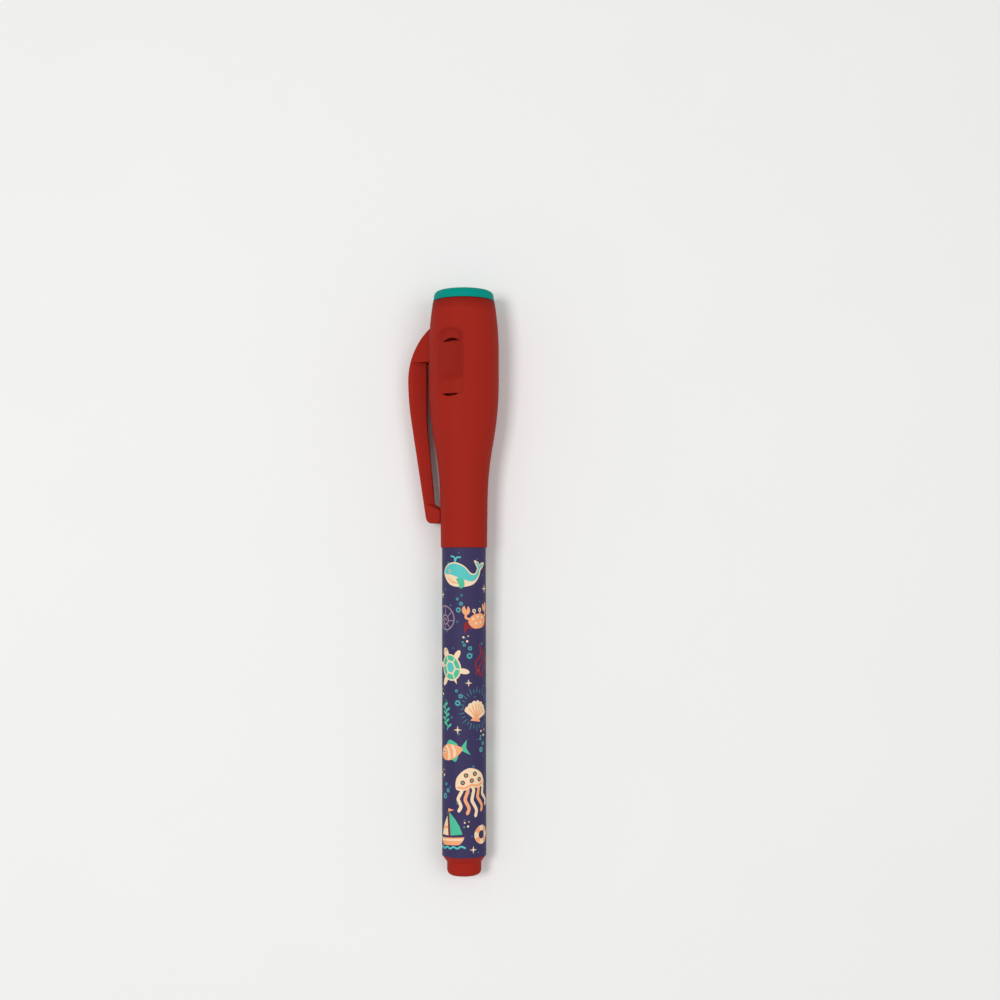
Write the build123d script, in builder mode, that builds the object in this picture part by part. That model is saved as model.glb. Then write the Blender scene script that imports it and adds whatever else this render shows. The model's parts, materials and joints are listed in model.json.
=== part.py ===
from build123d import *
import os
from math import asin, atan2, cos, hypot, pi, radians, sin, sqrt, tan

# A capped invisible-ink pen with an ultraviolet lamp in its cap, lying on a table.
# Sizes are in millimetres. Stations count along the pen from its lamp end, and heights
# are distances from its axis. Z is up, and the table is at zero.

# Overall lengths
PEN_LENGTH = 137.0
CAP_LENGTH = 60.8
KNOB_LENGTH = 4.6

# Fits
RUNNING_GAP = 0.10
SEAT_GAP = 0.03

# Cap outline
RIM_RADIUS = 7.3
RIM_EDGE = 0.5
BELLY_RADIUS = 8.3
BELLY_START = 14.7
BELLY_END = 21.5
WAIST_START = 50.8
WAIST_RADIUS = 5.6
MOUTH_RADIUS = 5.45
MOUTH_EDGE = 0.25
UPPER_BORE = 6.0
LOWER_BORE = 4.45
PARTITION = 1.4

# Lamp collar, its thread and its gasket
COLLAR_HEIGHT = 2.3
COLLAR_RADIUS = 7.25
COLLAR_TAPER = 0.35
COLLAR_EDGE = 1.2
SPIGOT_LENGTH = 4.95
SPIGOT_WALL = 0.8
LENS_LIP = 0.8
LENS_LIP_REACH = 0.35
BEZEL_BEVEL = 0.5
THREAD_SPACE = 0.55
THREAD_PITCH = 1.5
COLLAR_THREAD_TURNS = 1.5
CAP_THREAD_TURNS = 2.0
THREAD_BASE = 0.6
THREAD_CREST = 0.3
THREAD_ROOT = 0.12
GASKET_THICKNESS = 0.7
GASKET_RADIUS = 6.25

# Lens, reflector and lamp
LENS_THICKNESS = 1.1
LENS_BULGE = 0.4
LAMP_GAP = 0.7
LAMP_RADIUS = 2.5
LAMP_LENGTH = 8.6
LAMP_FLANGE_RADIUS = 2.9
LAMP_FLANGE = 1.0
LEAD_PITCH = 2.54
LEAD_RADIUS = 0.25
LEAD_BEND = 0.4
REFLECTOR_LIP = 0.3
REFLECTOR_DEPTH = 4.6

# Battery carrier, cells and contacts
NOSE_GAP = 0.4
DECK = 2.8
CELL_COUNT = 3
CELL_RADIUS = 3.95
CELL_HEIGHT = 3.6
CELL_FACE_RADIUS = 3.0
CELL_FACE_HEIGHT = 0.25
CELL_OFFSET = 1.1
CELL_RIB = 0.35
SPRING_LENGTH = 2.4
SPRING_WIRE = 0.2
SPRING_RADIUS = 2.9
SPRING_TURNS = 3
SPRING_CONE = 24.0
STRIP_THICKNESS = 0.2
STRIP_WIDTH = 2.4
STRIP_BEND = 0.5
STRIP_TIP = 4.0
CARRIER_TAIL = 0.3
LEAD_REACH = 8.5

# Push button and the recess round it
CLIP_FROM_BUTTON = 94.0
BUTTON_START = 12.9
BUTTON_LENGTH = 12.15
BUTTON_WIDTH = 6.2
BUTTON_CORNER = 1.0
BUTTON_TRAVEL = 0.7
BUTTON_SCOOP_WIDTH = 5.8
BUTTON_SCOOP_DEPTH = 0.9
BUTTON_LIP_RUN = 2.6
BUTTON_LIP_LENGTH = 2.9
BUTTON_FLANGE = 0.65
SLIT_ABOVE = 0.9
SLIT_BELOW = 0.7
SLIT_BESIDE = 0.03
RAMP_START = 9.15
RAMP_DEPTH = 0.9

# Pocket clip
CLIP_START = 8.3
CLIP_CROWN = 21.0
CLIP_REACH = 13.7
CLIP_BEND = 60.0
CLIP_FALL = 9.0
CLIP_END = 55.0
CLIP_WIDTH = 6.3
CLIP_TIP_WIDTH = 4.2
CLIP_EDGE = 0.5
CLIP_THICKNESS = 4.05
CLIP_TIP_THICKNESS = 2.28
CLIP_BEVEL = 2.6
CLIP_BEVEL_END = 1.6
CLIP_RIDGE = 0.5
CLIP_RIDGE_LIFT = 0.6
CLIP_GAP_START = 16.5
CLIP_FLEX_START = 17.2
CLIP_FLEX_GAP = 0.02
CLIP_TIP_RADIUS = 1.5
CLIP_BUMP_GAP = 0.12
CLIP_BUMP_LENGTH = 4.6
CLIP_BUMP_FLAT = 3.0
CLIP_ROOT_DEPTH = 1.0

# Locking screw
SCREW_HEAD_RADIUS = 1.3
SCREW_HEAD = 0.9
SCREW_RADIUS = 0.75
SCREW_LENGTH = 3.2
SCREW_SINK = 0.35
SCREW_CROSS = 1.5
SCREW_CROSS_WIDTH = 0.35
SCREW_CROSS_DEPTH = 0.45

# Barrel, sleeve and end plug
BARREL_RADIUS = 5.0
BARREL_BORE = 3.95
SLEEVE_THICKNESS = 0.13
PLUG_SPIGOT = 8.0
PLUG_WALL = 1.1
PLUG_FLANGE_RADIUS = 5.12
PLUG_TAPER = 1.5
KNOB_RADIUS = 4.0
KNOB_EDGE = 1.3

# Nib section, nib, reservoir and inner cap
NECK_RADIUS = 4.3
NECK_LENGTH = 9.0
NECK_CHAMFER = 0.4
NECK_BEAD = 0.08
NECK_BEAD_LENGTH = 1.0
CONE_FRONT_RADIUS = 1.6
SECTION_SPIGOT = 7.0
RESERVOIR_GRIP = 4.5
NIB_RADIUS = 0.9
NIB_TIP_RADIUS = 0.35
NIB_TIP_LENGTH = 2.2
NIB_EXPOSED = 4.0
NIB_GAP = 0.9
NIB_BITE = 4.0
RESERVOIR_RADIUS = 3.3
FILM_THICKNESS = 0.1
LINER_END = 0.8
LINER_CHAMBER = 2.4
LINER_BACKSET = 5.0
LINER_GAP = 0.2

# Lamp collar and gasket, worked out from the bore that they close
spigot_radius = UPPER_BORE - THREAD_SPACE
spigot_bore = spigot_radius - SPIGOT_WALL
spigot_end = COLLAR_HEIGHT + SPIGOT_LENGTH
lens_radius = spigot_bore - SEAT_GAP
lens_front = LENS_LIP + SEAT_GAP
lens_back = lens_front + LENS_THICKNESS
aperture = spigot_bore - LENS_LIP_REACH
collar_ridge = THREAD_SPACE - RUNNING_GAP
cap_ridge = THREAD_SPACE - 2 * RUNNING_GAP
rim_station = COLLAR_HEIGHT + SEAT_GAP
gasket_start = COLLAR_HEIGHT + SEAT_GAP / 2
gasket_end = gasket_start + GASKET_THICKNESS
gasket_seat_end = gasket_end + RUNNING_GAP
thread_start = gasket_seat_end + THREAD_BASE
main_bore = UPPER_BORE - cap_ridge
main_bore_start = spigot_end + RUNNING_GAP

# Stations down the lamp core, each following from the piece before it
lamp_tip = lens_back + LAMP_GAP
lamp_base = lamp_tip + LAMP_LENGTH
nose_start = spigot_end + NOSE_GAP
deck_end = lamp_base + DECK
cells_start = deck_end + 2 * LEAD_RADIUS + 2 * SEAT_GAP
cells_end = cells_start + CELL_COUNT * CELL_HEIGHT
strip_start = cells_end + SPRING_LENGTH
strip_end = strip_start + STRIP_THICKNESS
carrier_end = strip_end + CARRIER_TAIL
partition_start = carrier_end + RUNNING_GAP
partition_end = partition_start + PARTITION

# Heights in the lamp core, from the cells out to the button
carrier_radius = main_bore - RUNNING_GAP
cell_bore = CELL_RADIUS + RUNNING_GAP
flat_height = cell_bore - CELL_OFFSET + CELL_RIB
live_lead_height = flat_height + SEAT_GAP + LEAD_RADIUS
leaf_height = live_lead_height + LEAD_RADIUS + BUTTON_TRAVEL
leaf_top = leaf_height + STRIP_THICKNESS
button_under = flat_height + BUTTON_TRAVEL + RUNNING_GAP
button_end = BUTTON_START + BUTTON_LENGTH
flat_start = BUTTON_START - BUTTON_FLANGE - NOSE_GAP
window_start = BUTTON_START - SLIT_ABOVE
window_end = button_end + SLIT_BELOW
window_width = BUTTON_WIDTH + 2 * SLIT_BESIDE
reflector_radius = spigot_bore - RUNNING_GAP
lead_offset = LEAD_PITCH / 2
screw_station = lamp_base + DECK / 2
screw_head_top = BELLY_RADIUS - SCREW_SINK
screw_head_seat = screw_head_top - SCREW_HEAD
clear_height = 2 * BELLY_RADIUS

# Clip outline: the crown, the straight fall after it and the bump at the tip
root_height = BELLY_RADIUS - CLIP_ROOT_DEPTH
fall_station = CLIP_CROWN + CLIP_BEND * sin(radians(CLIP_FALL))
fall_height = CLIP_REACH - CLIP_BEND * (1 - cos(radians(CLIP_FALL)))
fall_slope = -tan(radians(CLIP_FALL))
inner_crown = CLIP_REACH - CLIP_THICKNESS
bump_start = CLIP_END - CLIP_BUMP_LENGTH
bump_height = fall_height + fall_slope * (bump_start - fall_station) - CLIP_TIP_THICKNESS
bump_hollow = WAIST_RADIUS + CLIP_BUMP_GAP
bump_low = sqrt(bump_hollow**2 - (CLIP_TIP_WIDTH / 2) ** 2) - CLIP_EDGE

# Stations of the writing end and of the barrel
nib_tip = partition_end + LINER_END + NIB_GAP
cone_front = nib_tip + NIB_EXPOSED
cone_back = CAP_LENGTH - NECK_LENGTH
cone_back_radius = NECK_RADIUS - NECK_CHAMFER
barrel_start = CAP_LENGTH + SEAT_GAP
barrel_end = PEN_LENGTH - KNOB_LENGTH
section_end = barrel_start + SECTION_SPIGOT
reservoir_start = section_end - RESERVOIR_GRIP
nib_end = reservoir_start + NIB_BITE
plug_start = barrel_end - PLUG_SPIGOT
reservoir_end = plug_start - RUNNING_GAP
sleeve_bore = BARREL_RADIUS + SEAT_GAP
sleeve_radius = sleeve_bore + SLEEVE_THICKNESS


def arc_radius(run, rise):
    """Radius of the arc that leaves a line tangentially and is off it by rise after run."""
    return (run**2 + rise**2) / (2 * rise)


def cone_radius(station):
    """Radius of the nib section's cone."""
    share = (station - cone_front) / (cone_back - cone_front)
    return CONE_FRONT_RADIUS + share * (cone_back_radius - CONE_FRONT_RADIUS)


def clip_half_width(station):
    """Half of the clip's width, which tapers to its tip."""
    share = (station - CLIP_START) / (CLIP_END - CLIP_START)
    return (CLIP_WIDTH - share * (CLIP_WIDTH - CLIP_TIP_WIDTH)) / 2


# The scoop's floor, and the radius with which it runs out level with the belly at both sides
button_face = BELLY_RADIUS - BUTTON_SCOOP_DEPTH
scoop_half = BUTTON_SCOOP_WIDTH / 2
scoop_radius = arc_radius(scoop_half, sqrt(BELLY_RADIUS**2 - scoop_half**2) - button_face)

# How the pen lies: on the curve under the cap's belly, on the tail edge of the sleeve and
# on the lower edge of the clip
fall_radius = arc_radius((WAIST_START - BELLY_END) / 2, (BELLY_RADIUS - WAIST_RADIUS) / 2)
shoulder_radius = arc_radius(BELLY_START - rim_station, BELLY_RADIUS - RIM_RADIUS)
tail_run = barrel_end - BELLY_END
tail_rise = sleeve_radius + fall_radius - BELLY_RADIUS
tilt = asin(fall_radius / hypot(tail_run, tail_rise)) - atan2(tail_rise, tail_run)
lamp_end_height = barrel_end * sin(tilt) + sleeve_radius * cos(tilt)
edge_reach = CLIP_REACH - CLIP_EDGE
edge_side = clip_half_width(CLIP_CROWN) - CLIP_EDGE
crown_height = (lamp_end_height - CLIP_CROWN * sin(tilt)) / cos(tilt)
roll = asin((crown_height - CLIP_EDGE) / hypot(edge_reach, edge_side)) - atan2(edge_side, edge_reach)
clip_side_reach = edge_reach * cos(roll) + edge_side * sin(roll) + CLIP_EDGE

# The pen's own directions and planes
ALONG = Vector(cos(tilt), 0, -sin(tilt))
UPRIGHT = Vector(sin(tilt), 0, cos(tilt))
SIDEWAYS = Vector(0, -1, 0)


def round_pen(angle):
    """Direction out of the pen, at an angle from upright toward the clip's side."""
    return UPRIGHT * cos(angle) + SIDEWAYS * sin(angle)


clip_angle = roll + pi / 2
button_angle = clip_angle - radians(CLIP_FROM_BUTTON)
CLIP_WAY = round_pen(clip_angle)
ACROSS_CLIP = round_pen(clip_angle - pi / 2)
BUTTON_WAY = round_pen(button_angle)
ACROSS_BUTTON = round_pen(button_angle + pi / 2)
LAMP_END = Vector(
    -PEN_LENGTH * cos(tilt) / 2,
    (clip_side_reach - BELLY_RADIUS) / 2,
    lamp_end_height,
)
PEN_AXIS = Axis(LAMP_END, ALONG)
CELL_AXIS = Axis(LAMP_END - BUTTON_WAY * CELL_OFFSET, ALONG)
BUTTON_SIDE = Plane(origin=LAMP_END, x_dir=ALONG, z_dir=ACROSS_BUTTON)
CLIP_SIDE = Plane(origin=LAMP_END, x_dir=ALONG, z_dir=-ACROSS_CLIP)
OVER_CLIP = Plane(origin=LAMP_END, x_dir=ALONG, z_dir=CLIP_WAY)


def over_button(station, height):
    """Plane that faces the way the button faces, at a station and a height."""
    return Plane(
        origin=LAMP_END + ALONG * station + BUTTON_WAY * height,
        x_dir=ALONG,
        z_dir=BUTTON_WAY,
    )


def across(station, height=0.0):
    """Plane across the pen, its centre at a height toward the button."""
    return Plane(
        origin=LAMP_END + ALONG * station + BUTTON_WAY * height,
        x_dir=BUTTON_WAY,
        z_dir=ALONG,
    )


def turn(points, axis=PEN_AXIS, mode=Mode.ADD):
    """Turn a closed outline of (station, height) points about an axis."""
    with BuildSketch(BUTTON_SIDE) as outline:
        with BuildLine():
            Polyline(*points, close=True)
        make_face()
    revolve(outline.sketch, axis=axis, mode=mode)


def slab(plane, points, width, mode=Mode.ADD):
    """Extrude a closed outline on a plane to both sides, to a full width."""
    with BuildSketch(plane) as outline:
        with BuildLine():
            Polyline(*points, close=True)
        make_face()
    extrude(outline.sketch, amount=width / 2, both=True, mode=mode)


def oblong(start, end, width, corner, low, high):
    """A round-cornered block along the pen between two heights toward the button."""
    with BuildSketch(over_button((start + end) / 2, low)) as outline:
        RectangleRounded(end - start, width, corner)
    extrude(outline.sketch, amount=high - low)


def rod(station, radius, length, height=0.0, mode=Mode.ADD):
    """A round rod along the pen."""
    with BuildSketch(across(station, height)) as outline:
        Circle(radius)
    extrude(outline.sketch, amount=length, mode=mode)


def ridge(station, radius, turns, depth):
    """A screw-thread ridge on a round wall, outward for a positive depth."""
    with BuildLine():
        helix = Helix(
            THREAD_PITCH,
            THREAD_PITCH * turns,
            radius,
            center=LAMP_END + ALONG * station,
            direction=ALONG,
        )
    start = helix @ 0
    outward = (start - LAMP_END - ALONG * station).normalized()
    root = -THREAD_ROOT if depth > 0 else THREAD_ROOT
    with BuildSketch(Plane(origin=start, x_dir=outward, z_dir=helix % 0)) as tooth:
        with BuildLine():
            Polyline(
                (root, -THREAD_BASE / 2),
                (depth, -THREAD_CREST / 2),
                (depth, THREAD_CREST / 2),
                (root, THREAD_BASE / 2),
                close=True,
            )
        make_face()
    sweep(tooth.sketch, path=helix, is_frenet=True)


def wire(plane, points, bend, radius):
    """A round wire along a bent line on a plane."""
    with BuildLine(plane) as path:
        FilletPolyline(*points, radius=bend)
    with BuildSketch(Plane(origin=path.line @ 0, z_dir=path.line % 0)) as outline:
        Circle(radius)
    sweep(outline.sketch, path=path.line)


def bevel(side):
    """Cut along the clip's lower (1) or upper (-1) inner edge, down to the ridge between them."""
    corners = [
        (CLIP_GAP_START, inner_crown, CLIP_BEVEL),
        (fall_station, inner_crown, CLIP_BEVEL),
        (bump_start, bump_height, CLIP_BEVEL_END),
        (CLIP_END - CLIP_BUMP_FLAT, bump_low, CLIP_EDGE),
    ]
    sections = []
    for station, height, depth in corners:
        edge = side * clip_half_width(station)
        reach = edge - side * CLIP_RIDGE / 2 + CLIP_RIDGE_LIFT
        plane = Plane(origin=LAMP_END + ALONG * station, x_dir=CLIP_WAY, z_dir=ALONG)
        with BuildSketch(plane) as outline:
            with BuildLine():
                Polyline(
                    (height + depth, edge),
                    (height - depth, edge + reach),
                    (height - depth, edge - 2 * reach),
                    close=True,
                )
            make_face()
        sections.append(outline.sketch)
    loft(sections, ruled=True, mode=Mode.SUBTRACT)


def stands_free(edge):
    """Whether an edge of the clip lies outside its root."""
    middle = CLIP_SIDE.to_local_coords(edge @ 0.5)
    return middle.X > CLIP_GAP_START + CLIP_EDGE or middle.Y > inner_crown + CLIP_EDGE


os.makedirs("parts", exist_ok=True)

# Lamp collar, screwed into the cap's upper end
with BuildPart() as lamp_collar:
    turn([
        (0, aperture + BEZEL_BEVEL),
        (BEZEL_BEVEL, aperture),
        (LENS_LIP, aperture),
        (LENS_LIP, spigot_bore),
        (spigot_end, spigot_bore),
        (spigot_end, spigot_radius),
        (COLLAR_HEIGHT, spigot_radius),
        (COLLAR_HEIGHT, COLLAR_RADIUS),
        (0, COLLAR_RADIUS - COLLAR_TAPER),
    ])
    front_edges = lamp_collar.edges().filter_by(GeomType.CIRCLE).group_by(PEN_AXIS)[0]
    fillet(front_edges.sort_by(SortBy.RADIUS)[-1], radius=COLLAR_EDGE)
    ridge(thread_start + THREAD_PITCH / 2, spigot_radius, COLLAR_THREAD_TURNS, collar_ridge)
lamp_collar.part.label = "lamp_collar"
export_step(lamp_collar.part, "parts/lamp_collar.step")

# Collar gasket, a flat ring between collar and cap rim
with BuildPart() as collar_gasket:
    turn([
        (gasket_start, spigot_radius + RUNNING_GAP),
        (gasket_end, spigot_radius + RUNNING_GAP),
        (gasket_end, GASKET_RADIUS),
        (gasket_start, GASKET_RADIUS),
    ])
collar_gasket.part.label = "collar_gasket"
export_step(collar_gasket.part, "parts/collar_gasket.step")

# Lamp lens, flat behind and bulging a little in front
with BuildPart() as lamp_lens:
    with BuildSketch(BUTTON_SIDE):
        with BuildLine():
            Line((lens_back, 0), (lens_back, lens_radius))
            Line((lens_back, lens_radius), (lens_front, lens_radius))
            Line((lens_front, lens_radius), (lens_front, aperture - SEAT_GAP))
            front = (lens_front - LENS_BULGE, 0)
            TangentArc(front, (lens_front, aperture - SEAT_GAP), tangent=(0, 1))
            Line(front, (lens_back, 0))
        make_face()
    revolve(axis=PEN_AXIS)
lamp_lens.part.label = "lamp_lens"
export_step(lamp_lens.part, "parts/lamp_lens.step")

# Reflector, a dished collar round the lamp
with BuildPart() as reflector:
    reflector_front = lens_back + RUNNING_GAP
    reflector_back = lamp_base - LAMP_FLANGE - SEAT_GAP
    turn([
        (reflector_front, reflector_radius - REFLECTOR_LIP),
        (reflector_front + REFLECTOR_DEPTH, LAMP_RADIUS + RUNNING_GAP),
        (reflector_back, LAMP_RADIUS + RUNNING_GAP),
        (reflector_back, reflector_radius),
        (reflector_front, reflector_radius),
    ])
reflector.part.label = "reflector"
export_step(reflector.part, "parts/reflector.step")

# Ultraviolet lamp, a round-nosed body on a flange
with BuildPart() as uv_lamp:
    rod(lamp_base - LAMP_FLANGE, LAMP_FLANGE_RADIUS, LAMP_FLANGE)
    rod(lamp_tip + LAMP_RADIUS, LAMP_RADIUS, LAMP_LENGTH - LAMP_RADIUS)
    with BuildSketch(BUTTON_SIDE) as nose:
        with BuildLine():
            TangentArc((lamp_tip, 0), (lamp_tip + LAMP_RADIUS, LAMP_RADIUS), tangent=(0, 1))
            Polyline((lamp_tip + LAMP_RADIUS, LAMP_RADIUS), (lamp_tip + LAMP_RADIUS, 0), (lamp_tip, 0))
        make_face()
    revolve(nose.sketch, axis=PEN_AXIS)
uv_lamp.part.label = "uv_lamp"
export_step(uv_lamp.part, "parts/uv_lamp.step")

# Anode lead, down through the deck and bent flat on the first cell
with BuildPart() as anode_lead:
    foot = deck_end + SEAT_GAP + LEAD_RADIUS
    wire(
        BUTTON_SIDE,
        [(lamp_base, -lead_offset), (foot, -lead_offset), (foot, -CELL_FACE_RADIUS)],
        LEAD_BEND,
        LEAD_RADIUS,
    )
anode_lead.part.label = "anode_lead"
export_step(anode_lead.part, "parts/anode_lead.step")

# Cathode lead, bent out of the deck and along the rib under the button
with BuildPart() as cathode_lead:
    rise_station = lamp_base + LEAD_BEND + LEAD_RADIUS
    wire(
        BUTTON_SIDE,
        [
            (lamp_base, lead_offset),
            (rise_station, lead_offset),
            (rise_station, live_lead_height),
            (rise_station + LEAD_REACH, live_lead_height),
        ],
        LEAD_BEND,
        LEAD_RADIUS,
    )
cathode_lead.part.label = "cathode_lead"
export_step(cathode_lead.part, "parts/cathode_lead.step")

# Battery carrier: a nose round the reflector, a deck under the lamp and a trough for cells
with BuildPart() as battery_carrier:
    rod(nose_start, carrier_radius, carrier_end - nose_start)
    rod(nose_start, reflector_radius + SEAT_GAP, lamp_base - nose_start, mode=Mode.SUBTRACT)
    rod(deck_end, cell_bore, carrier_end - deck_end, -CELL_OFFSET, mode=Mode.SUBTRACT)
    slab(
        BUTTON_SIDE,
        [
            (flat_start, flat_height),
            (carrier_end, flat_height),
            (carrier_end, carrier_radius),
            (flat_start, carrier_radius),
        ],
        2 * carrier_radius,
        mode=Mode.SUBTRACT,
    )
    lead_room = LEAD_RADIUS + RUNNING_GAP
    slab(
        BUTTON_SIDE,
        [
            (lamp_base, lead_offset - lead_room),
            (rise_station + lead_room, lead_offset - lead_room),
            (rise_station + lead_room, flat_height),
            (flat_start, flat_height),
            (flat_start, carrier_radius),
            (lamp_base, carrier_radius),
        ],
        2 * lead_room,
        mode=Mode.SUBTRACT,
    )
    rod(lamp_base, lead_room, DECK, -lead_offset, mode=Mode.SUBTRACT)
    slab(
        BUTTON_SIDE,
        [
            (strip_start - RUNNING_GAP, -carrier_radius),
            (carrier_end, -carrier_radius),
            (carrier_end, flat_height),
            (strip_start - RUNNING_GAP, flat_height),
        ],
        STRIP_WIDTH + 2 * RUNNING_GAP,
        mode=Mode.SUBTRACT,
    )
    with BuildSketch(over_button(screw_station, -screw_head_seat)):
        Circle(SCREW_RADIUS + SEAT_GAP)
    extrude(amount=SCREW_LENGTH + RUNNING_GAP, mode=Mode.SUBTRACT)
battery_carrier.part.label = "battery_carrier"
export_step(battery_carrier.part, "parts/battery_carrier.step")

# Button cells, stacked in the trough
for number in range(CELL_COUNT):
    with BuildPart() as button_cell:
        top = cells_start + number * CELL_HEIGHT + SEAT_GAP / 2
        bottom = top + CELL_HEIGHT - SEAT_GAP
        turn(
            [
                (top, -CELL_OFFSET),
                (top, CELL_RADIUS - CELL_OFFSET),
                (bottom - CELL_FACE_HEIGHT, CELL_RADIUS - CELL_OFFSET),
                (bottom - CELL_FACE_HEIGHT, CELL_FACE_RADIUS - CELL_OFFSET),
                (bottom, CELL_FACE_RADIUS - CELL_OFFSET),
                (bottom, -CELL_OFFSET),
            ],
            axis=CELL_AXIS,
        )
    button_cell.part.label = f"button_cell_{number + 1}"
    export_step(button_cell.part, f"parts/button_cell_{number + 1}.step")

# Cell spring, a cone of wire that narrows toward the cells
with BuildPart() as cell_spring:
    spring_rise = SPRING_LENGTH - 2 * SPRING_WIRE - 2 * SEAT_GAP
    with BuildLine():
        coil = Helix(
            spring_rise / SPRING_TURNS,
            spring_rise,
            SPRING_RADIUS,
            center=CELL_AXIS.position + ALONG * (strip_start - SPRING_WIRE - SEAT_GAP),
            direction=-ALONG,
            cone_angle=-SPRING_CONE,
        )
    with BuildSketch(Plane(origin=coil @ 0, z_dir=coil % 0)) as outline:
        Circle(SPRING_WIRE)
    sweep(outline.sketch, path=coil, is_frenet=True)
cell_spring.part.label = "cell_spring"
export_step(cell_spring.part, "parts/cell_spring.step")

# Contact strip: a plate under the spring, bent up into the leaf below the button
with BuildPart() as contact_strip:
    leaf_tip = BUTTON_START + STRIP_TIP
    plate_foot = -CELL_OFFSET - CELL_RADIUS
    middle = STRIP_THICKNESS / 2
    with BuildSketch(BUTTON_SIDE):
        with BuildLine():
            FilletPolyline(
                (strip_start + middle, plate_foot),
                (strip_start + middle, leaf_height + middle),
                (leaf_tip, leaf_height + middle),
                radius=STRIP_BEND,
            )
        trace(line_width=STRIP_THICKNESS)
    extrude(amount=STRIP_WIDTH / 2, both=True)
contact_strip.part.label = "contact_strip"
export_step(contact_strip.part, "parts/contact_strip.step")

# Flange of the push button, shaped to the cap's bore
with BuildPart() as button_flange:
    oblong(
        BUTTON_START - BUTTON_FLANGE,
        button_end + BUTTON_FLANGE,
        BUTTON_WIDTH + 2 * BUTTON_FLANGE,
        BUTTON_CORNER + BUTTON_FLANGE,
        button_under,
        main_bore,
    )
    rod(0, carrier_radius, CAP_LENGTH, mode=Mode.INTERSECT)

# Scoop in the button's face, hollow across and rising to the lip at its lower end
with BuildPart() as scoop:
    lip_top = button_end - BUTTON_LIP_LENGTH
    lip_foot = lip_top - BUTTON_LIP_RUN
    with BuildSketch(BUTTON_SIDE):
        with BuildLine():
            TangentArc((lip_foot, button_face), (lip_top, BELLY_RADIUS), tangent=(1, 0))
            Polyline(
                (lip_top, BELLY_RADIUS),
                (lip_top, clear_height),
                (BUTTON_START, clear_height),
                (BUTTON_START, button_face),
                (lip_foot, button_face),
            )
        make_face()
    extrude(amount=BUTTON_WIDTH, both=True)
    rod(0, scoop_radius, CAP_LENGTH, button_face + scoop_radius, mode=Mode.INTERSECT)

# Push button, with its flange inside the cap wall and a channel over the lead and the leaf
with BuildPart() as push_button:
    oblong(BUTTON_START, button_end, BUTTON_WIDTH, BUTTON_CORNER, button_under, clear_height)
    rod(0, BELLY_RADIUS, CAP_LENGTH, mode=Mode.INTERSECT)
    add(scoop.part, mode=Mode.SUBTRACT)
    add(button_flange.part)
    slab(
        BUTTON_SIDE,
        [
            (flat_start, 0),
            (carrier_end, 0),
            (carrier_end, leaf_top + SEAT_GAP),
            (flat_start, leaf_top + SEAT_GAP),
        ],
        STRIP_WIDTH + 4 * RUNNING_GAP,
        mode=Mode.SUBTRACT,
    )
push_button.part.label = "push_button"
export_step(push_button.part, "parts/push_button.step")

# The whole clip, from its root in the cap wall to its tip
with BuildPart() as whole_clip:
    with BuildSketch(CLIP_SIDE):
        with BuildLine():
            TangentArc((CLIP_CROWN, CLIP_REACH), (CLIP_START, root_height), tangent=(-1, 0))
            CenterArc((CLIP_CROWN, CLIP_REACH - CLIP_BEND), CLIP_BEND, 90, -CLIP_FALL)
            FilletPolyline(
                (fall_station, fall_height),
                (CLIP_END, fall_height + fall_slope * (CLIP_END - fall_station)),
                (CLIP_END, bump_low),
                (CLIP_END - CLIP_BUMP_FLAT, bump_low),
                (bump_start, bump_height),
                (fall_station, inner_crown),
                (CLIP_GAP_START, inner_crown),
                radius=CLIP_TIP_RADIUS,
            )
            Polyline(
                (CLIP_GAP_START, inner_crown),
                (CLIP_GAP_START, root_height),
                (CLIP_START, root_height),
            )
        make_face()
    extrude(amount=CLIP_WIDTH, both=True)
    with BuildSketch(OVER_CLIP):
        with BuildLine():
            Polyline(
                (CLIP_START, CLIP_WIDTH / 2),
                (CLIP_END, CLIP_TIP_WIDTH / 2),
                (CLIP_END, -CLIP_TIP_WIDTH / 2),
                (CLIP_START, -CLIP_WIDTH / 2),
                close=True,
            )
        make_face()
    extrude(amount=2 * CLIP_REACH, mode=Mode.INTERSECT)
    clip_sides = whole_clip.faces().sort_by(Axis(LAMP_END, ACROSS_CLIP))
    side_edges = clip_sides[0].edges() + clip_sides[-1].edges()
    fillet(side_edges.filter_by(stands_free), radius=CLIP_EDGE)
    rod(bump_start, bump_hollow, CLIP_BUMP_LENGTH, mode=Mode.SUBTRACT)
    for side in (-1, 1):
        bevel(side)

# Root of the clip, which is part of the cap moulding
with BuildPart() as clip_root:
    add(whole_clip.part)
    split(bisect_by=across(CLIP_FLEX_START), keep=Keep.BOTTOM)

# Pocket clip, the springy arm that stands out from its root
with BuildPart() as pocket_clip:
    add(whole_clip.part)
    split(bisect_by=across(CLIP_FLEX_START + CLIP_FLEX_GAP), keep=Keep.TOP)
pocket_clip.part.label = "pocket_clip"
export_step(pocket_clip.part, "parts/pocket_clip.step")

# Ramp that leads a fingertip down into the button's scoop
with BuildPart() as ramp:
    ramp_top = BELLY_RADIUS - shoulder_radius + sqrt(shoulder_radius**2 - (BELLY_START - RAMP_START) ** 2)
    ramp_end = BUTTON_START + BUTTON_CORNER
    slab(
        BUTTON_SIDE,
        [
            (RAMP_START, ramp_top),
            (BUTTON_START, ramp_top - RAMP_DEPTH),
            (ramp_end, ramp_top - RAMP_DEPTH),
            (ramp_end, clear_height),
            (RAMP_START, clear_height),
        ],
        window_width,
    )
    rod(0, scoop_radius, CAP_LENGTH, button_face + scoop_radius, mode=Mode.INTERSECT)

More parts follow.
